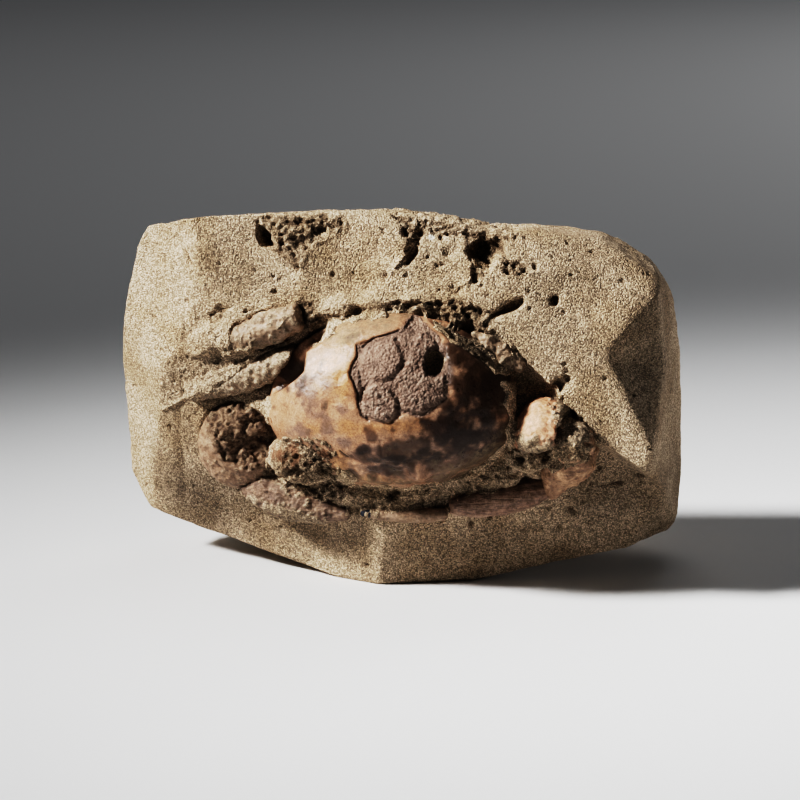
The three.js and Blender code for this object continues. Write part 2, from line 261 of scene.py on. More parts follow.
# Broken ground, as outlines on the face: how rough it is and how far it has sunk.
RUBBLE = [
    # the wedge at the upper left, with the cleft along its left side
    ([(-36.3, 97.3), (-33.6, 95.8), (-32.8, 92.5), (-33.3, 90.1), (-30.5, 88.7), (-27, 86.4),
      (-24.3, 84.2), (-22.2, 88.6), (-19.1, 90.7), (-15.5, 92.1), (-10.8, 95), (-12, 97.2)], 0.7, 0.4),
    ([(-1.1, 97), (2, 94.7), (4, 91.7), (5.6, 89.3), (8.1, 91.9), (11.2, 92.2), (15.3, 93.2),
      (20.1, 93.2), (22, 96)], 1, 0.8),
    # round the large pit
    ([(7.1, 91.5), (12.2, 92.3), (17.9, 91), (19.9, 90.1), (20.8, 85.9), (21.9, 81.8), (27.4, 84.4),
      (32.4, 82.3), (34.9, 82.5), (35, 84.8), (30, 86.3), (29, 89), (32.8, 91.4), (28, 93.4),
      (16.4, 96), (8, 95)], 0.9, 0.4),
    # over the carapace
    ([(-24.7, 75.8), (-15.9, 75), (-10.8, 75.2), (-3.1, 75.4), (1.5, 76.2), (3.3, 72.8), (-3.1, 73),
      (-10.8, 71.8), (-16, 70.6), (-21.1, 70.3)], 0.4, 0),
    ([(0.5, 76), (6.6, 77.5), (12.2, 77), (19.8, 76.3), (25.3, 72.8), (25.8, 68.8), (21.8, 67.6),
      (17.7, 68.9), (14.1, 69.1), (11.1, 71.5), (8.1, 73.2), (2.3, 72.8)], 0.9, 0.2),
    # about the legs
    ([(-51, 73), (-43.3, 75.1), (-43.4, 72), (-45.8, 68.8), (-46.5, 63.5), (-55.5, 62.3),
      (-56.6, 67.1), (-53.8, 71.2)], 0.35, 0),
    ([(-61.2, 59.7), (-49.9, 63.9), (-39.2, 65.5), (-35.4, 64.9), (-40.4, 60.1), (-48.9, 53.9),
      (-58.9, 47.9), (-62.1, 53.3)], 0.3, 0),
    ([(-24.7, 76.8), (-19, 76), (-18, 71.7), (-20.5, 66.5), (-23.1, 65.3), (-22.2, 69.1),
      (-23.1, 72.5)], 0.8, -0.3),
    # between the carapace and the claws
    ([(-33.2, 34.4), (-28, 38.5), (-24.6, 35.2), (-21.1, 32.1), (-16, 33), (-12.2, 29.1),
      (-14.1, 24.1), (-19.3, 25.3), (-24, 26.9), (-29.5, 28.6), (-34.1, 30.5)], 0.9, 0),
    ([(-10.9, 29), (-3.1, 30.8), (2, 29.7), (8.4, 30), (15.4, 30.5), (22.5, 31.3), (28.8, 33.8),
      (30, 38.5), (35, 39.5), (39.8, 38), (39, 31.7), (35.5, 28.4), (28.9, 28), (22.6, 26.3),
      (15.4, 24), (12.3, 22.3), (4.6, 21.6), (-3.7, 21.2), (-11, 21.7), (-13.1, 22.7),
      (-10.4, 25.8)], 0.5, 0),
    # the sandy lump by the left claw
    ([(-33.8, 36.5), (-32.4, 41.2), (-27.6, 43.4), (-23.5, 45.4), (-18.3, 45.1), (-14.2, 42.6),
      (-12, 38.6), (-12.6, 34.5), (-16.1, 30.6), (-21.1, 31), (-27, 31.6), (-33.4, 32)], 0.7, 0.3),
    # on the right claw
    (KNOB_SAND, 0.5, 0),
    (ARM_SAND, 0.4, 0),
]

# Sand that still lies on the crab, as outlines on the face, and how thick it is.
CRUST = [
    ([(-29.5, 40.7), (-26.5, 43.6), (-22, 45), (-17.5, 44.6), (-14.2, 41.4), (-12.4, 36.3),
      (-9, 33), (-9.5, 26.5), (-18.8, 24.5), (-24, 26.9), (-29.5, 28.6), (-34.1, 30.5),
      (-33.2, 34.4), (-29, 37)], 1.1),
    ([(-10, 30.4), (-3, 30.8), (8, 30.2), (15.4, 30.5), (24, 31.6), (30, 36.5), (27, 26),
      (12, 23), (-4, 21), (-12, 21)], 0.8),
    ([(-60, 70), (-42.4, 72.6), (-41.2, 66.4), (-42.5, 60), (-60, 56)], 1.2),
    ([(-62, 60), (-44, 64.5), (-36.5, 65.6), (-33, 63.6), (-36.5, 60.5), (-42.5, 55.6),
      (-49, 51), (-56, 45.5), (-64, 46)], 1.1),
    ([(-27, 64.5), (-22.4, 66), (-18.4, 67.6), (-14.6, 70), (-10.7, 71.8), (-4, 72.8), (2, 73.6),
      (4, 75), (4, 80), (-10, 80), (-24, 76), (-30, 66)], 1.2),
    (BURIED_CORNER, 0.9),
    (KNOB_SAND, 0.8),
    (ARM_SAND, 1.1),
    ([(28, 38.5), (31, 39.6), (34, 39), (38, 38.6), (39.6, 35), (35, 32), (30, 32)], 1),
    ([(-35.6, 49.6), (-31.4, 51.6), (-30.6, 47), (-33, 45)], 0.8),
    ([(26.6, 58), (28.2, 54), (29.2, 47), (28, 40), (24.6, 36), (20, 33.4), (26, 31), (30.4, 37),
      (31.8, 46), (31, 56)], 1),
]

# Cracks and slits: stops along each, half its width and its depth.
CRACKS = [
    ([(-35.2, 95.8), (-32.8, 91.4), (-30.5, 89), (-27, 86.4), (-24.4, 84.2)], 0.6, 1),
    ([(5.4, 88.6), (4.2, 85.8)], 0.7, 1.2),
    ([(-56.8, 46), (-56.7, 36.3), (-55.9, 27.3), (-55.8, 18.2)], 1.2, 0.5),
    ([(21, 84.4), (20.9, 81.7)], 0.7, 1.5),
    ([(-47, 72.4), (-45.1, 73.4), (-42.3, 74.5)], 0.5, 0.8),
    ([(-38.5, 73.6), (-35.1, 74.6)], 0.3, 0.6),
    ([(26.1, 73), (28.7, 74.3), (32.9, 76.3)], 0.8, 2.2),
    ([(54.5, 25.3), (60, 25.9)], 0.4, 0.9),
    ([(-53.9, 88), (-53.2, 87.1), (-52.6, 85.2)], 0.4, 1),
    ([(21.6, 22), (27.7, 23.2)], 0.4, 0.8),
]

# Thin rims that stand out of the stone, in the same way.
RIMS = [
    ([(5.6, 90.4), (3.3, 87.6), (0.8, 84.6)], 0.35, 0.9),
    ([(-23.7, 84.3), (-22.4, 88.4), (-19.3, 90.5), (-15.7, 92), (-11.2, 94.8)], 0.6, 0.5),
    ([(-12.1, 76), (-5.7, 76.5), (0.7, 76.8), (7.1, 77.7)], 0.5, 0.25),
    ([(16, 78.8), (17.8, 80.6), (20.3, 81.8)], 0.4, 0.5),
    ([(-61, 44.9), (-56.2, 48), (-50.3, 52.5)], 0.5, 0.5),
]

# Single holes: where on the face, the radius and the depth.
HOLES = [
    ((5.5, 90.8), 1.4, 1.4), ((7, 93), 1.2, 1.2), ((3.4, 93), 1, 1), ((12.6, 91.6), 0.8, 0.9),
    ((21.4, 88.4), 2.2, 2), ((27, 88.8), 1.8, 2), ((24, 91), 1.6, 1.2),
    ((9.1, 87), 0.6, 0.7), ((11.4, 84.8), 0.6, 0.7), ((-1.6, 82.7), 0.6, 0.8),
    ((29.4, 83.6), 0.9, 1), ((33.4, 84), 0.8, 0.9), ((36.4, 84.4), 0.7, 0.9), ((24.6, 84.6), 0.8, 0.9),
    ((46.6, 18.7), 0.9, 1.1), ((47.7, 17.4), 0.8, 1), ((49.7, 20.9), 0.6, 0.8),
    ((53.7, 30.7), 0.6, 0.8), ((59.1, 25.5), 0.5, 0.8), ((51.8, 14.3), 0.7, 0.8),
    ((43.9, 13.4), 0.8, 0.9), ((26.6, 11.3), 0.6, 0.6), ((48.1, 46.8), 0.7, 1.1),
    ((44.1, 56.7), 1, 1.2), ((42.1, 54.8), 1.6, 1.4), ((31.7, 37.1), 1.7, 2.4),
    ((-28.3, 31.5), 1, 1.4), ((-27, 33.2), 1.3, 2), ((-17.2, 33.9), 1.1, 1.6), ((-21.7, 31.3), 0.9, 1.2),
    ((-0.1, 26.7), 0.9, 1.2), ((1, 27.8), 0.8, 1.2), ((-9, 74.1), 1, 1), ((-0.6, 74.3), 1, 1),
    ((12.2, 74.7), 1.2, 1.2), ((14, 72.6), 1.1, 1.2), ((9.2, 72.2), 1, 1), ((5.3, 76.1), 0.9, 1),
    ((21.8, 73.9), 1, 1), ((19.8, 72.9), 0.8, 0.9), ((16.5, 75), 1, 1), ((34.7, 78.5), 0.5, 0.5),
    ((43.6, 73.2), 0.5, 0.5), ((47.7, 82.6), 0.4, 0.5), ((-10, 83), 0.5, 0.5), ((24, 78), 0.4, 0.5),
]

# Darker places, partly browner, damper-looking stone and partly painted shade on faces turned from the
# lamp, under the legs and beside the shell: where on the face, the radii, the lean and how dark.
STAINS_AND_SHADE = [
    ((-50, 20), (24, 15), 0.15, 1), ((66, 62), (8, 26), 0, 0.6), ((24, 10), (36, 10), 0.05, 0.35),
    ((58, 24), (18, 15), 0, 0.75), ((-27, 61), (6, 8), 0, 1), ((-36, 57), (12, 3), 0.4, 0.7),
    ((46, 66), (12, 8), -0.5, 0.35), ((-38, 70), (10, 5), 0.3, 0.25), ((50, 84), (16, 9), -0.2, 0.45),
    ((-24, 14), (18, 10), 0, 0.5), ((-56, 34), (3, 16), 0, 0.5), ((-34, 82), (15, 8), 0, 0.3),
    ((-22, 38), (11, 8), 0, 0.6), ((-46, 56), (14, 8), 0.5, 0.4), ((21, 66.5), (9, 4), -0.6, 1),
    ((-24, 70), (4, 5), 0, 0.7),
]

# Banks of sand against the shell, and fillings of the upper clefts: where on the face and how far out,
# the radii and the lean.
BANKS = [
    (-20.5, 71.8, 13.2, (6, 3.6, 5.4), 0.5), (-12, 74.3, 13, (7, 4.2, 5.2), 0.15),
    (-2, 75.3, 12.9, (8.5, 4.4, 5.2), 0), (8, 74.9, 12.6, (7.5, 4.4, 5.4), -0.1),
    (17, 72.6, 13, (6.5, 4.4, 5.6), -0.4), (24.5, 68.8, 14, (5, 3.8, 5), -0.6),
    (-24, 73, 14.4, (2.6, 2.6, 3.4), 0), (-27.4, 86.4, 8.6, (1.8, 2.4, 2.4), -0.7),
    (-22.5, 91, 5, (5, 2, 3), 0.5), (-7, 26.4, 18.8, (12, 3.8, 4.8), -0.05),
    (6, 27, 18, (11, 3.8, 5), 0.08), (37.5, 33, 16, (4, 3.4, 5), 0),
    (14.6, 88.3, 8, (2.6, 3, 2.2), 0), (2.6, 86, 9.6, (1.5, 2.6, 2.2), 0.5),
]

# Where the shell is crushed in and buried, as outlines on the face, and how deep. The sand over it
# sinks with it by a share of that.
CRUSHED = [
    ([(-36, 48), (-33.8, 49.9), (-30.1, 53.7), (-27.7, 55.8), (-24.5, 58.7), (-22.7, 60.6), (-22, 64.9),
      (-18.1, 67.6), (-16.4, 69.2), (-15, 76), (-36, 76)], 6),
    (BURIED_CORNER, 2.6),
]
SINKING_SHARE = 0.65


def crushed(right, up):
    """How many millimetres the shell is crushed in at a place on the face."""
    depth = np.zeros(len(right))
    for outline, most in CRUSHED:
        depth = np.maximum(depth, most * ramp(inside(right, up, outline), -0.4, 2.4))
    return depth


# Single marks, as ovals on the face: where and the radii.
WORN_CORNER = ((60, 62), (13, 30))
TOP_DIP = ((29, 95.5), (8, 4))
TOP_DIP_DEPTH = 1.4
RUDDY_CRUSTS = [((-19, 39), (5, 4)), ((-28, 37), (4, 4))]
WHITE_SCRAP = ((10, 91.7), (0.8, 0.8))

# The stone is made from the block and the crab together, so that it can also form the sand on the crab.
CRAB = [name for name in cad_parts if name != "sandstone_block"]
stone = solid_copy("sandstone", "sandstone_block", *CRAB)
for bank in BANKS:
    add_bank(stone, *bank)

# The sand closes on the crab without a gap, and its edges are worn.
VOXEL = 0.46 * MM
GAP = 0.5 * MM
STONE_TRIANGLES = 196000
modifier(stone, "REMESH", mode="VOXEL", voxel_size=VOXEL)
modifier(stone, "DISPLACE", strength=GAP, mid_level=0)
modifier(stone, "REMESH", mode="VOXEL", voxel_size=VOXEL)
modifier(stone, "DISPLACE", strength=-GAP, mid_level=0)
modifier(stone, "SMOOTH", factor=0.5, iterations=14)
apply_modifiers(stone)

# The corner between the face and the right side has worn round.
right, up = on_face(points_of(stone))
smooth_where(stone, "worn", oval(right, up, *WORN_CORNER), iterations=110)

# Each point of the stone is told how squarely it looks out of the face, whether it is on the face side
# of the block at all, and how far it is from the crab. Within a millimetre of it, it lies on the crab.
points = points_of(stone)
right, up = on_face(points)
front = ramp(-normals_of(stone)[:, 1], -0.2, 0.3)
facing = ramp(-normals_of(stone)[:, 1], 0.3, 0.75)
face_side = ramp(-points[:, 1] / MM, -20, -12)

PLACE_SPACING = 0.9 * MM
crab = solid_copy("crab_places", *CRAB)
modifier(crab, "REMESH", mode="VOXEL", voxel_size=PLACE_SPACING)
apply_modifiers(crab)
crab_places = search_tree(points_of(crab))
bpy.data.objects.remove(crab)
distance = np.array([crab_places.find(Vector(p))[2] for p in points]) / MM
on_crab = ramp(-distance, -1.3, -0.7)

edge_noise = clouds(points, 3.2, 3)
rough = np.zeros(len(points))
sunk = np.zeros(len(points))
for outline, strength, depth in RUBBLE:
    share = ramp(inside(right, up, outline) + 1.1 * edge_noise, -0.5, 0.6)
    rough = np.maximum(rough, strength * share)
    sunk = np.where(share > 0, np.maximum(sunk, depth * share), sunk)
torn = rough * (1 - facing) * ramp(distance, 1, 3) * face_side
rough *= facing
cover = np.zeros(len(points))
for outline, thickness in CRUST:
    share = ramp(inside(right, up, outline) + 0.8 * edge_noise, -0.5, 0.7)
    cover = np.maximum(cover, thickness * share)

# Broken ground is made of crumbs of two sizes, with clefts between them and deeper gaps here and there.
# The fine crumbs come from further along the same noise, so that they don't fall on the coarse ones.
CRUMB = 1.6
FINE_CRUMB = 1
FINE_SHIFT = 0.1
broken = np.flatnonzero((rough > 0.02) | (cover > 0.02))
clods = np.zeros(len(points))
stirred = points[broken] + 0.4 * MM * clouds(points[broken], 1.2, 2)[:, None]
fine = crumbs(stirred + FINE_SHIFT, FINE_CRUMB)
clods[broken] = ramp(crumbs(stirred, CRUMB), 0.15, 0.75) + 0.6 * fine - 0.9
gaps = np.zeros(len(points))
gaps[broken] = ramp(clouds(points[broken], 2, 4), 0.15, 0.45)

# The face swells softly, the broken ground is sunk into it, and over the crab the stone sinks below the
# shell wherever no sand is left on it.
swell = 0.25 * clouds(points, 24, 2) + 0.18 * clouds(points, 7, 2)
heights = front * swell + 0.3 * (1 - front) * edge_noise
heights += front * 0.12 * edge_noise - TOP_DIP_DEPTH * oval(right, up, *TOP_DIP)
heights += rough * (0.75 * clods - gaps) - 0.4 * facing * sunk + 0.7 * torn * clouds(points, 1.8, 3)
heights += on_crab * (cover * (0.9 + 0.35 * clods) - 1.1 * ramp(-cover, -0.5, -0.05))
heights -= SINKING_SHARE * on_crab * crushed(right, up)

for stops, width, depth in CRACKS:
    heights -= front * depth * line(right + 0.4 * edge_noise, up, stops, width)
for stops, width, height in RIMS:
    heights += front * height * line(right + 0.4 * edge_noise, up, stops, width)
for (x, y), radius, depth in HOLES:
    away = np.hypot(right - x, up - y) + 0.25 * radius * edge_noise
    heights -= front * depth * np.exp(-((away / radius) ** 4))

# Small holes where single grains and shell scraps have fallen out.
PITS = 300
random = np.random.default_rng(7)
places = search_tree(points)
worked = np.flatnonzero((front > 0.9) & (on_crab < 0.1))
for index in random.choice(worked, PITS, replace=False):
    radius = random.uniform(0.22, 0.38) + random.exponential(0.1)
    depth = random.uniform(0.9, 1.7) * radius
    for _, found, far in places.find_range(points[index], 1.6 * radius * MM):
        heights[found] -= depth * math.exp(-((far / (radius * MM)) ** 4))

# The foot stays flat.
above_foot = ramp(points[:, 2] / MM, 0.5, 3)
raise_by(stone, heights * above_foot)

# What the stone's material reads: painted shade in hollows, broken ground, ruddy crusts, a white scrap
# and stains that are partly painted shade.
# Painted shade: the gaps in broken ground and every place sunk below the face are darkened.
hollow_shade = rough * ramp(gaps - clods, 0.2, 0.8) + ramp(-heights, 0.45, 1.3) * (on_crab < 0.5)
keep(stone, "hollow_shade", np.clip(hollow_shade, 0, 1))
keep(stone, "rough", rough)
ruddy = sum(oval(right, up, at, radii) for at, radii in RUDDY_CRUSTS)
keep(stone, "ruddy", face_side * ramp(ruddy * (0.6 + edge_noise), 0.3, 0.6))
keep(stone, "scrap", face_side * ramp(oval(right, up, *WHITE_SCRAP), 0.4, 0.6))
# Partly browner stone and partly painted shade.
stain_and_shade = np.zeros(len(points))
for at, radii, lean, amount in STAINS_AND_SHADE:
    stain_and_shade = np.maximum(stain_and_shade, amount * oval(right, up, at, radii, lean))
keep(stone, "stain_and_shade", np.clip(face_side * stain_and_shade + 0.12 * clouds(points, 9, 4), 0, 1))
thin_out(stone, STONE_TRIANGLES)


def node(tree, kind, inputs=None, **settings):
    """A shader node, its inputs set to values or linked to other nodes' outputs."""
    made = tree.nodes.new(kind)
    for name, value in settings.items():
        setattr(made, name, value)
    for name, value in (inputs or {}).items():
        if isinstance(value, bpy.types.NodeSocket):
            tree.links.new(value, made.inputs[name])
        else:
            made.inputs[name].default_value = value
    return made


def speckle(tree, size, detail, roughness):
    """Noise from 0 to 1 in the piece's own place, with lumps this many millimetres across."""
    place = node(tree, "ShaderNodeTexCoord").outputs["Object"]
    made = node(tree, "ShaderNodeTexNoise", {
        "Vector": place, "Scale": 1 / (size * MM), "Detail": detail, "Roughness": roughness})
    return made.outputs["Fac"]


def between(tree, value, low, high):
    """0 where the value is below low and 1 where it is above high."""
    return node(tree, "ShaderNodeMapRange", {
        "Value": value, "From Min": low, "From Max": high}, clamp=True).outputs["Result"]


def mixed(tree, share, first, second):
    """One colour going over to another by a share from 0 to 1."""
    made = node(tree, "ShaderNodeMix", data_type="RGBA")
    for socket, value in ((0, share), (6, first), (7, second)):
        if isinstance(value, bpy.types.NodeSocket):
            tree.links.new(value, made.inputs[socket])
        elif socket == 0:
            made.inputs[socket].default_value = value
        else:
            made.inputs[socket].default_value = (*value, 1)
    return made.outputs[2]


def bumped(tree, height, depth, under=None):
    """A bump of this depth in millimetres, on top of another one."""
    inputs = {"Height": height, "Strength": 1.0, "Distance": depth * MM}
    if under is not None:
        inputs["Normal"] = under
    return node(tree, "ShaderNodeBump", inputs).outputs["Normal"]


def shaded(name):
    """A new material, with its node tree and its shader."""
    made = bpy.data.materials.new(name)
    made.use_nodes = True
    return made, made.node_tree, made.node_tree.nodes["Principled BSDF"]


def kept(tree, name):
    """The value kept for each point under this name."""
    return node(tree, "ShaderNodeAttribute", attribute_name=name).outputs["Fac"]


def result(tree, operation, first, second):
    """What two values come to by an operation such as MULTIPLY or SUBTRACT."""
    return node(tree, "ShaderNodeMath", {0: first, 1: second}, operation=operation).outputs[0]


def spread(tree, value, low, high, least, most):
    """Goes from least to most while the value goes from low to high."""
    return node(tree, "ShaderNodeMapRange", {
        "Value": value, "From Min": low, "From Max": high, "To Min": least, "To Max": most},
        clamp=True).outputs["Result"]


def toned(tree, colour, light):
    """A colour made lighter or darker."""
    return node(tree, "ShaderNodeVectorMath", {0: colour, "Scale": light}, operation="SCALE").outputs[0]


def grains(tree, size):
    """Packed grains of this many millimetres: how far a place is from its grain's middle, and a
    number from 0 to 1 that is the grain's own."""
    place = node(tree, "ShaderNodeTexCoord").outputs["Object"]
    made = node(tree, "ShaderNodeTexVoronoi", {"Vector": place, "Scale": 1 / (size * MM)})
    own = node(tree, "ShaderNodeSeparateColor", {"Color": made.outputs["Color"]}).outputs["Red"]
    return made.outputs["Distance"], own


# The grains of the sand and the clumps that they form: how large and how deep, in millimetres.
GRAIN = 0.38
GRAIN_DEPTH = 0.34
CLUMP = 1
CLUMP_DEPTH = 0.14


def sand_colour(tree, tone=1.0):
    """Sandstone: soft pale and brown drifts, grains that each have a tone, and painted shade between them.
    """
    pale = tuple(tone * c for c in SAND)
    brown = tuple(0.66 * tone * c * k for c, k in zip(SAND, (1, 0.95, 0.86)))
    drift = mixed(tree, between(tree, speckle(tree, 14, 4, 0.6), 0.42, 0.72), pale, brown)
    away, own = grains(tree, GRAIN)
    light = spread(tree, own, 0.1, 0.9, 0.64, 1.4)
    # Painted shade darkens each grain towards its edge, in the gaps between grains.
    light = result(tree, "MULTIPLY", light, spread(tree, away, 0.3, 0.7, 1.08, 0.68))
    patches = spread(tree, speckle(tree, 1.2, 3, 0.65), 0.36, 0.62, 0.92, 1.06)
    return toned(tree, drift, result(tree, "MULTIPLY", light, patches))


def sand_bump(tree, under):
    """The relief of the single grains and of the small clumps that they form, on top of another bump."""
    away, own = grains(tree, GRAIN)
    clumps = bumped(tree, speckle(tree, CLUMP, 3, 0.6), CLUMP_DEPTH, under)
    relief = result(tree, "SUBTRACT", result(tree, "MULTIPLY", own, 0.8), away)
    return bumped(tree, relief, GRAIN_DEPTH, clumps)


# Ruddy crusts, painted shade in the nooks between the clods and in hollows, the white scrap, and how
# large the clods are.
RUDDY = (0.2, 0.1, 0.06)
NOOK_SHADE = (0.08, 0.055, 0.035)
HOLLOW_SHADE = (0.11, 0.07, 0.04)
SCRAP = (0.9, 0.85, 0.75)
CLOD = 1.2
CLOD_DEPTH = 0.45

sandstone, tree, shader = shaded("sandstone")
# The stains darken the sand, partly as browner stone and partly as painted shade.
colour = toned(tree, sand_colour(tree), spread(tree, kept(tree, "stain_and_shade"), 0, 1, 1.06, 0.44))
colour = mixed(tree, result(tree, "MULTIPLY", kept(tree, "ruddy"), 0.7), colour, RUDDY)
away, own = grains(tree, CLOD)
# Painted shade in the nooks between the clods and in the hollows.
nook_shade = result(tree, "MULTIPLY", between(tree, away, 0.4, 0.62), kept(tree, "rough"))
colour = mixed(tree, result(tree, "MULTIPLY", nook_shade, 0.5), colour, NOOK_SHADE)
colour = mixed(tree, result(tree, "MULTIPLY", kept(tree, "hollow_shade"), 0.5), colour, HOLLOW_SHADE)
colour = mixed(tree, kept(tree, "scrap"), colour, SCRAP)
tree.links.new(colour, shader.inputs["Base Color"])
clod = result(tree, "MULTIPLY", result(tree, "SUBTRACT", own, away), kept(tree, "rough"))
tree.links.new(sand_bump(tree, bumped(tree, clod, CLOD_DEPTH)), shader.inputs["Normal"])
shader.inputs["Roughness"].default_value = 0.92
shader.inputs["Specular IOR Level"].default_value = 0.25
coat(stone, sandstone)

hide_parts("sandstone_block")
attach(stone, "root")


# ---- Carapace ----
# The crab's vaulted back shell, turned to glossy calcite, pink and tan with brown and grey clouds, with
# painted shade darkening its right side and its lower part. A patch of its outer layer has flaked away
# over the middle and shows the dull, beaded layer below.

# The flaked patch, from its upper left corner down round its left side, and its blended right edge.
FLAKED_PATCH = [
    (-8.8, 67.9), (-8.8, 65.3), (-10.1, 63.2), (-10.6, 61.4), (-9.6, 58.9), (-8.5, 54), (-7.5, 51.6),
    (-6, 50.1), (-0.5, 49.2), (2.8, 52), (6.5, 50.4), (10, 52.3), (14, 55.8), (14.4, 62), (13.6, 66.1),
    (12.1, 69), (7.3, 72.6), (5.8, 73.4), (3.5, 72.8), (1.5, 70.8), (-4.3, 69.4), (-6.3, 68.1),
]
RIGHT_EDGE = [(12.5, 55), (14.4, 58), (15, 62), (14.2, 66), (12, 69.5), (8, 72.4)]
EDGE_WIDTH = 2

# Swellings of the layer below: an outline, how high and how rough each one is.
LOBES = [
    ([(-6.6, 67.7), (-4.1, 68.8), (1, 69.6), (2.8, 65.7), (3, 63.7), (1.5, 61.9), (0, 60.1), (-2, 59.3),
      (-4.5, 60), (-6, 61.8), (-7.6, 62.7), (-8.1, 64.9)], 0.75, 0.35),
    ([(-7.6, 54.7), (-8, 52.8), (-6.5, 50.6), (-3.5, 49.9), (-0.5, 49.4), (1.2, 51.2), (2, 53.2),
      (1.2, 56.2), (-0.3, 58.2), (-2, 59.1), (-4.5, 59.3), (-6.6, 57.4)], 0.95, 1),
    ([(4, 66.5), (3.8, 64.1), (2, 61.9), (0.5, 60.1), (1, 57.7), (2, 55.7), (2.5, 52.7), (5, 51.9),
      (7, 51.1), (9.5, 52.8), (13.5, 55.1), (13.8, 60), (13, 66), (8, 71)], 0.6, 0.8),
]

# Cracks, most of them along the patch, and hair cracks in the shell, all as stops on the face.
SHELL_CRACKS = [
    [(-8.8, 67.9), (-8.8, 65.3), (-10.1, 63.2), (-10.6, 61.4), (-9.6, 58.9), (-8.8, 56.5), (-8.5, 54),
     (-7.5, 51.6), (-6, 50.1)],
    [(1.5, 70.8), (-1, 70.1), (-4.3, 69.4), (-6.3, 68.1), (-7.1, 67.3)],
    [(-8.3, 61.7), (-7.8, 59.8), (-7.6, 57.9)],
    [(-13.2, 41.2), (-11.2, 39.6)],
]
HAIR_CRACKS = [
    [(-2.8, 45.2), (-2.4, 41.5), (-2.9, 36.9)], [(-7, 45.3), (-2.4, 45)], [(-11.8, 56.2), (-9.4, 56)],
]
CRACK_WIDTH = 0.24
CRACK_DEPTH = 0.4

# The hole broken through the patch, the lump low on the shell and the uneven margin about it.
HOLE_AT = (10.8, 63.4)
HOLE_RADII = (2.5, 3.1)
HOLE_DEPTH = 2.2
LUMP = ((7.6, 35.4), (2.8, 2.3))
LUMP_HEIGHT = 2.4
MARGIN = ((2, 35), (26, 7))

SHELL_VOXEL = 0.36 * MM
SHELL_TRIANGLES = 150000
shell = solid_copy("carapace_shell", "carapace")
modifier(shell, "REMESH", mode="VOXEL", voxel_size=SHELL_VOXEL)
modifier(shell, "SMOOTH", factor=0.5, iterations=36)
apply_modifiers(shell)

# On its right the patch runs out into the shell without a step.
right, up = on_face(points_of(shell))
smooth_where(shell, "blended", line(right, up, RIGHT_EDGE, EDGE_WIDTH), iterations=90)

points = points_of(shell)
right, up = on_face(points)
front = ramp(-normals_of(shell)[:, 1], 0.0, 0.3)
ragged = 0.5 * clouds(points, 1.8, 4)
flaked = front * ramp(inside(right, up, FLAKED_PATCH) + ragged, -0.1, 0.35)

heights = 0.25 + 0.3 * clouds(points, 8, 3) + (1 - flaked) * 0.09 * clouds(points, 2.4, 4)
heights += 0.25 * flaked - front * crushed(right, up)
lump = oval(right, up, *LUMP)
heights += front * (LUMP_HEIGHT * lump + clouds(points, 4.5, 3) * oval(right, up, *MARGIN))

# The layer below is beaded, and pores from further along the same noise lie among its beads.
BEAD = 1.05
PORE = 1.6
PORE_SHIFT = 0.3
beads = crumbs(points, BEAD)
roughness = np.full(len(points), 0.5)
for outline, rise, coarse in LOBES:
    share = ramp(inside(right, up, outline) + 0.7 * ragged, -0.1, 1.1)
    heights += front * rise * share
    roughness = np.where(share > 0.3, coarse, roughness)
pores = ramp(crumbs(points + PORE_SHIFT, PORE), 0.6, 0.85)
heights += flaked * (0.1 * clouds(points, 2.4, 3) + roughness * (0.34 * (beads - 0.4) - 0.35 * pores))

cracked = np.zeros(len(points))
for stops in SHELL_CRACKS:
    crack = line(right + 0.5 * ragged, up + 0.3 * ragged, stops, CRACK_WIDTH)
    cracked = np.maximum(cracked, crack)
for stops in HAIR_CRACKS:
    cracked = np.maximum(cracked, 0.3 * line(right + ragged, up + ragged, stops, CRACK_WIDTH))
heights -= front * CRACK_DEPTH * cracked

reach = ((right - HOLE_AT[0]) / HOLE_RADII[0]) ** 2 + ((up - HOLE_AT[1]) / HOLE_RADII[1]) ** 2
pierced = np.exp(-(reach + 0.4 * ragged) ** 3)
heights -= front * HOLE_DEPTH * pierced
raise_by(shell, heights)

# What the shell's material reads: the patch, its beads, dirt and painted shade in the cracks, the hole
# and the pores and, below, the stains.
keep(shell, "flaked", flaked)
keep(shell, "beads", roughness * (beads - 0.35))
# Dirt and painted shade in the cracks, the hole and the pores of the layer below.
keep(shell, "soiled_and_shaded", front * np.clip(cracked + 0.9 * pierced + flaked * roughness * pores * 0.5, 0, 1))

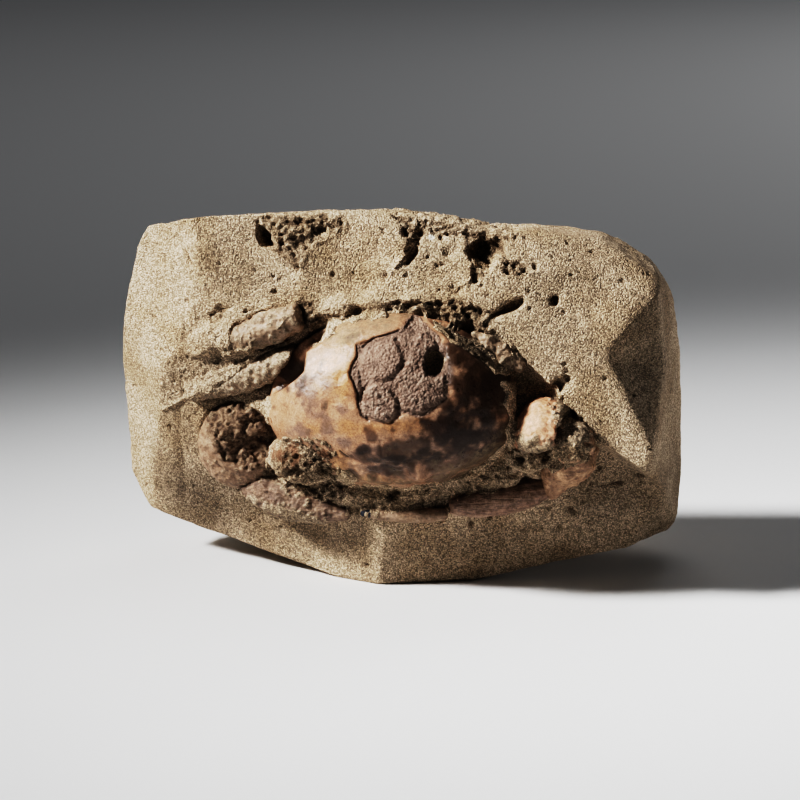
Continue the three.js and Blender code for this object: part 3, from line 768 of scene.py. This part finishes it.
# Stains, as ovals on the face: where, radii and lean. The brown ones are partly stains and partly painted
# shade low on the shell; the black ones are painted shade on its right side and by the left legs, with
# some dark brown stain.
STAINS = {
    "ochre": [
        ((-11.9, 48.3), (4.4, 2.4), 0), ((-13.4, 62), (3.6, 9), 0), ((-8.6, 46.8), (3, 2.6), 0),
        ((-2, 48), (5, 2), 0), ((6, 48.8), (6, 2.4), 0), ((-13.5, 38), (3, 3.4), 0),
        ((-3, 33.5), (6, 2), 0), ((3, 41), (3, 2), 0), ((10, 41), (6, 2), 0), ((-20, 47), (3, 2), 0),
    ],
    "grey": [
        ((-20.8, 56.2), (4.4, 3.6), 0), ((-16.9, 58.6), (3, 2.6), 0), ((-18, 50.4), (5, 1.7), -0.1),
        ((-12.6, 52.6), (2, 1.8), 0), ((-23.5, 46), (3, 2.4), 0), ((-16.2, 47.4), (2.6, 2.4), 0),
        ((-11, 44), (4, 1.7), 0), ((-6, 42.4), (5, 2), 0), ((-2, 37), (5, 1.8), 0),
    ],
    "brown": [
        ((-5, 46.3), (2.6, 2.6), 0), ((-6.8, 41), (5, 3.6), 0), ((4, 43), (10, 5), 0),
        ((14, 44), (12, 8), 0), ((-1.6, 36.6), (6, 2), 0), ((-10.8, 33.9), (3.2, 2.2), 0),
        ((20, 38), (14, 8), 0.3), ((8, 37), (12, 5), 0), ((12, 33), (10, 3), 0),
    ],
    "black_and_shade": [
        ((25, 57), (15, 19), 0), ((18, 62), (6, 11), 0), ((18, 49), (13, 10), 0),
        ((28, 43), (10, 12), 0), ((11, 46), (5, 2.6), 0), ((-27.5, 61), (5, 8), 0),
        ((10, 41), (7, 2.6), 0), ((0, 39.5), (5, 1.8), 0), ((-7, 42), (3, 1.6), 0),
    ],
    "dusty": [
        ((25, 39), (9, 4), 0.4), ((15, 35), (12, 4), 0.1), ((30, 47), (3, 9), 0),
        ((-13, 70.5), (9, 3), 0.35), ((-2, 73.4), (10, 2.6), 0.1), ((-6, 32.6), (10, 2), 0),
        ((-17, 33), (5, 3), 0), ((4, 33), (9, 2), 0),
    ],
}


def strongest(right, up, ovals):
    """The strongest of several ovals at each place on the face."""
    most = np.zeros(len(right))
    for at, radii, lean in ovals:
        most = np.maximum(most, oval(right, up, at, radii, lean))
    return most


blur = clouds(points, 3.2, 5)
for stain, ovals in STAINS.items():
    amount = strongest(right, up, ovals)
    keep(shell, stain, ramp(amount - 0.8 * lump + 0.6 * blur, 0.25, 0.85))
thin_out(shell, SHELL_TRIANGLES)

# The colour of each stain, the brown and black ones partly painted shade, and how much of the shell's
# own colour it can hide.
STAIN_TONES = [
    ("ochre", (0.39, 0.22, 0.105), 0.7), ("grey", (0.17, 0.12, 0.1), 0.8),
    ("brown", (0.06, 0.032, 0.02), 0.9), ("black_and_shade", (0.026, 0.012, 0.007), 0.94),
]

# The shell's own two tones and its dust, then the layer below, painted light on its bead tops and painted
# shade at their feet, and the dirt and painted shade in the cracks.
PINK = (0.4, 0.265, 0.185)
TAN = (0.33, 0.2, 0.125)
DUST = (0.22, 0.165, 0.11)
BELOW_PALE = (0.285, 0.205, 0.16)
BELOW_DARK = (0.185, 0.13, 0.1)
BEAD_TOP_LIT = (0.46, 0.37, 0.3)
BEAD_FOOT_SHADE = (0.13, 0.075, 0.05)
SOIL_AND_SHADE = (0.03, 0.018, 0.012)

calcite, tree, shader = shaded("shell_calcite")
cloud = speckle(tree, 5, 4, 0.6)
fleck = spread(tree, speckle(tree, 0.5, 3, 0.7), 0.32, 0.68, 0, 1)
colour = mixed(tree, between(tree, cloud, 0.36, 0.66), PINK, TAN)
# Brown and black darken the shell partly as painted shade.
for stain, tone, most in STAIN_TONES:
    share = result(tree, "MULTIPLY", kept(tree, stain), spread(tree, fleck, 0, 1, 0.75 * most, most))
    colour = mixed(tree, share, colour, tone)
colour = toned(tree, colour, spread(tree, fleck, 0, 1, 0.68, 1.3))
dust = result(tree, "MULTIPLY", kept(tree, "dusty"), between(tree, speckle(tree, 1.1, 3, 0.7), 0.36, 0.62))
colour = mixed(tree, dust, colour, DUST)
below = mixed(tree, between(tree, speckle(tree, 3.4, 3, 0.6), 0.36, 0.64), BELOW_PALE, BELOW_DARK)
# Painted light on the tops of the beads and painted shade at their feet.
below = mixed(tree, spread(tree, kept(tree, "beads"), 0.05, 0.45, 0, 0.6), below, BEAD_TOP_LIT)
below = mixed(tree, spread(tree, kept(tree, "beads"), -0.05, -0.35, 0, 0.7), below, BEAD_FOOT_SHADE)
colour = mixed(tree, kept(tree, "flaked"), colour, below)
# Dirt and painted shade in the cracks, the hole and the pores.
colour = mixed(tree, result(tree, "MULTIPLY", kept(tree, "soiled_and_shaded"), 0.9), colour, SOIL_AND_SHADE)
tree.links.new(colour, shader.inputs["Base Color"])
gloss = spread(tree, speckle(tree, 2.2, 3, 0.6), 0.3, 0.7, 0.26, 0.42)
gloss = result(tree, "ADD", gloss, result(tree, "MULTIPLY", kept(tree, "flaked"), 0.4))
gloss = result(tree, "ADD", gloss, result(tree, "MULTIPLY", dust, 0.4))
tree.links.new(gloss, shader.inputs["Roughness"])
skin = bumped(tree, speckle(tree, 0.7, 4, 0.7), 0.16)
away, own = grains(tree, 0.7)
grit = result(tree, "MULTIPLY", result(tree, "SUBTRACT", own, away), kept(tree, "flaked"))
tree.links.new(bumped(tree, grit, 0.3, skin), shader.inputs["Normal"])
coat(shell, calcite)

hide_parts("carapace")
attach(shell, "root")


# ---- Claws ----
# Both claws are folded in front of the shell. Each is brown shell with fine streaks along it. The left
# palm is broken open on dark crumbling rock, and sand still sticks to all of them.

# The streaks of the shell, the rock inside a broken piece and the dark tip of the fixed finger, as an
# oval on the face.
STREAK_LENGTH = 6
STREAK_WIDTH = 0.6
ROCK_PALE = (0.27, 0.195, 0.135)
ROCK_DARK = (0.085, 0.055, 0.038)
TIP_COLOUR = (0.025, 0.03, 0.045)
DARK_TIP = ((-8.2, 22.4), (3.4, 2))
PIECE_VOXEL = 0.3 * MM
PIECE_TRIANGLES = 70000


def shell_material(name, pale, dark, streak, gloss=0.5, lean=0.0):
    """Old shell: two soft tones, and streaks of this strength that lie at a lean on the face."""
    made, tree, shader = shaded(name)
    place = node(tree, "ShaderNodeTexCoord").outputs["Object"]
    across = 1 / (STREAK_WIDTH * MM)
    turned = node(tree, "ShaderNodeMapping", {
        "Vector": place, "Rotation": (0, lean, 0),
        "Scale": (1 / (STREAK_LENGTH * MM), across, across)}).outputs["Vector"]
    streaks = node(tree, "ShaderNodeTexNoise", {
        "Vector": turned, "Scale": 1.0, "Detail": 4.0, "Roughness": 0.65}).outputs["Fac"]
    tone = mixed(tree, between(tree, speckle(tree, 2.6, 4, 0.6), 0.36, 0.64), pale, dark)
    tone = mixed(tree, spread(tree, streaks, 0.62, 0.36, 0, streak), tone, tuple(0.4 * c for c in dark))
    tone = toned(tree, tone, spread(tree, speckle(tree, 0.8, 4, 0.7), 0.34, 0.62, 0.66, 1.12))
    rock = mixed(tree, between(tree, speckle(tree, 1.3, 3, 0.65), 0.38, 0.62), ROCK_PALE, ROCK_DARK)
    tone = mixed(tree, kept(tree, "tip"), tone, TIP_COLOUR)
    tone = mixed(tree, kept(tree, "opened"), tone, rock)
    tone = mixed(tree, kept(tree, "sandy"), tone, sand_colour(tree, 0.68))
    tree.links.new(tone, shader.inputs["Base Color"])
    dull = result(tree, "MAXIMUM", kept(tree, "sandy"), kept(tree, "opened"))
    tree.links.new(spread(tree, dull, 0, 1, gloss, 0.9), shader.inputs["Roughness"])
    ridges = bumped(tree, streaks, 0.6 * streak)
    tree.links.new(bumped(tree, speckle(tree, 0.9, 4, 0.7), 0.35, ridges), shader.inputs["Normal"])
    return made


def crab_piece(name, cad_node, material, relief, sandy=(), opened=(), sand=0.0, rise=0.15):
    """A piece of the crab's shell, with its relief, its openings, the sand on it and how far it rises."""
    piece = solid_copy(name, cad_node)
    modifier(piece, "REMESH", mode="VOXEL", voxel_size=PIECE_VOXEL)
    modifier(piece, "SMOOTH", factor=0.5, iterations=12)
    apply_modifiers(piece)
    points = points_of(piece)
    right, up = on_face(points)
    front = ramp(-normals_of(piece)[:, 1], 0, 0.4)
    small = clouds(points, 1.8, 4)
    torn = np.zeros(len(points))
    for outline in opened:
        torn = np.maximum(torn, ramp(inside(right, up, outline) + 0.6 * small, -0.3, 0.5))
    dusted = ramp(np.maximum(sand, strongest(right, up, sandy)) + 0.5 * small, 0.35, 0.6)
    heights = rise + relief * clouds(points, 3.2, 3) + 0.3 * relief * (crumbs(points, 1.1) - 0.5)
    heights += dusted * (0.25 + 0.25 * small)
    heights += front * torn * (1.1 * clouds(points, 2.6, 4) + 0.5 * crumbs(points, 1.4) - 0.3)
    raise_by(piece, heights)
    keep(piece, "sandy", dusted)
    keep(piece, "opened", torn)
    keep(piece, "tip", ramp(oval(right, up, *DARK_TIP), 0.35, 0.5))
    thin_out(piece, PIECE_TRIANGLES)
    coat(piece, material)
    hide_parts(cad_node)
    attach(piece, "root")


# The outline on the face of the opening in the left palm.
PALM_OPENING = [
    (-50, 47), (-48, 52), (-44.4, 55.6), (-38.5, 56.6), (-34, 56), (-30, 49), (-29, 43), (-30, 37),
    (-34, 32.6), (-38, 31.6), (-43, 34), (-48.6, 41),
]
palm_shell = shell_material("left_palm_shell", pale=(0.39, 0.28, 0.2), dark=(0.25, 0.165, 0.11),
                            streak=0.3)
crab_piece("left_palm", "left_claw_palm", palm_shell, relief=0.4, sand=0.2,
           sandy=[((-48.5, 52), (3, 4), 0.3), ((-42, 57.6), (6, 1.4), 0.1)], opened=[PALM_OPENING])

finger_shell = shell_material("left_finger_shell", pale=(0.37, 0.265, 0.19), dark=(0.19, 0.125, 0.09),
                              streak=0.6, lean=0.3)
crab_piece("left_finger", "left_claw_finger", finger_shell, relief=0.45,
           sandy=[((-22, 31), (12, 6), -0.2), ((-34, 33), (6, 2.4), 0), ((-26, 20.4), (14, 2.6), -0.25)])

arm_shell = shell_material("right_arm_shell", pale=(0.66, 0.42, 0.29), dark=(0.5, 0.29, 0.18),
                           streak=0.3, gloss=0.42, lean=1.4)
crab_piece("right_arm", "right_claw_arm", arm_shell, relief=0.4,
           sandy=[((44, 51), (3.4, 4), 0), ((36, 41), (6, 4), 0), ((32, 58), (5, 1.6), 0)])

palm_shell = shell_material("right_palm_shell", pale=(0.62, 0.42, 0.28), dark=(0.36, 0.23, 0.15),
                            streak=0.5, lean=-0.6)
crab_piece("right_palm", "right_claw_palm", palm_shell, relief=0.6,
           sandy=[((45.5, 44), (6, 5), 0), ((49, 49), (4, 3), 0)])

finger_shell = shell_material("right_finger_shell", pale=(0.5, 0.35, 0.26), dark=(0.24, 0.15, 0.105),
                              streak=0.6, gloss=0.45, lean=-0.2)
crab_piece("right_finger", "right_claw_finger", finger_shell, relief=0.25, rise=0.8,
           sandy=[((24, 36), (14, 1.2), 0.22)])

edge_shell = shell_material("fixed_finger_shell", pale=(0.46, 0.34, 0.25), dark=(0.3, 0.2, 0.13),
                            streak=0.4)
crab_piece("fixed_finger", "right_claw_fixed_finger", edge_shell, relief=0.15, rise=0.5,
           sandy=[((4, 28.5), (14, 1.6), 0)])


# ---- Walking legs ----
# Stumps of the walking legs lie beside the shell where the block split. They are worn shell, fixed in
# the stone and still largely under sand.

# How much sand each leg still carries.
LEG_SAND = {"left_front_leg": 0.36, "left_rear_leg": 0.6, "right_rear_leg": 0.36}
leg_shell = shell_material("leg_shell", pale=(0.5, 0.375, 0.275), dark=(0.32, 0.23, 0.16), streak=0.35,
                           gloss=0.38, lean=-0.42)
for leg, sand in LEG_SAND.items():
    crab_piece(leg + "_piece", leg, leg_shell, relief=0.5, sand=sand)


# ---- Floor, light and camera ----
# A pale studio table of matt paper, lit by one narrow lamp that grazes the face from the left. A large
# faint light hangs above and behind, and another brightens the table from the right, behind the block.

TABLE_WIDTH = 8
TABLE_GREY = 0.72
table = bmesh.new()
bmesh.ops.create_grid(table, x_segments=1, y_segments=1, size=TABLE_WIDTH / 2)
mesh = bpy.data.meshes.new("table")
table.to_mesh(mesh)
table.free()
floor = bpy.data.objects.new("table", mesh)
bpy.context.collection.objects.link(floor)
paper, tree, shader = shaded("pale_paper")
shader.inputs["Base Color"].default_value = (TABLE_GREY, TABLE_GREY, TABLE_GREY, 1)
shader.inputs["Roughness"].default_value = 0.8
floor.data.materials.append(paper)


def aimed(thing, name, place, target):
    """Puts a lamp or camera at a place, looking at a target."""
    made = bpy.data.objects.new(name, thing)
    bpy.context.collection.objects.link(made)
    made.location = place
    made.rotation_euler = (Vector(place) - Vector(target)).to_track_quat("Z", "Y").to_euler()
    return made


TOWARDS_LAMP = Vector((-0.78, -0.155, 0.605)).normalized()
LAMP_DISTANCE = 2
POOL = Vector((0.1, -0.05, 0.02))
lamp = bpy.data.lights.new("lamp", "SPOT")
lamp.energy = 520
lamp.shadow_soft_size = 0.22
lamp.spot_size = math.radians(12.2)
lamp.spot_blend = 1
aimed(lamp, "lamp", POOL + LAMP_DISTANCE * TOWARDS_LAMP, POOL)

overhead = bpy.data.lights.new("overhead", "AREA")
overhead.size = 1
overhead.energy = 2.3
aimed(overhead, "overhead", (0.2, 0.8, 1.4), (0.2, 0.5, 0))

wall_glow = bpy.data.lights.new("wall_glow", "AREA")
wall_glow.size = 0.4
wall_glow.energy = 7
aimed(wall_glow, "wall_glow", (1.2, 1, 0.15), (0, 0, 0.05))

world = bpy.data.worlds.new("studio")
world.use_nodes = True
world.node_tree.nodes["Background"].inputs["Color"].default_value = (0.04, 0.041, 0.043, 1)
bpy.context.scene.world = world

# Dark tones are deepened and bright ones held back, as film does in hard light.
view = bpy.context.scene.view_settings
view.view_transform = "Standard"
view.use_curve_mapping = True
tones = view.curve_mapping.curves[3]
for light, shown in ((0.02, 0.004), (0.04, 0.012), (0.07, 0.035), (0.1, 0.07), (0.14, 0.14),
                     (0.21, 0.29), (0.3, 0.47), (0.42, 0.61), (0.6, 0.72), (0.78, 0.8)):
    tones.points.new(light, shown)
tones.points[-1].location = (1, 0.9)
view.curve_mapping.update()

# The camera looks down on the crab from straight in front of the block.
VIEW_HEIGHT = math.radians(15)
VIEW_DISTANCE = 0.7
target = Vector((MIDDLE + 2 * MM, 7.7 * MM, 45 * MM))
eye = bpy.data.cameras.new("camera")
eye.sensor_width = 36
eye.lens = 118.6
away = Vector((0, -math.cos(VIEW_HEIGHT), math.sin(VIEW_HEIGHT)))
bpy.context.scene.camera = aimed(eye, "camera", target + VIEW_DISTANCE * away, target)
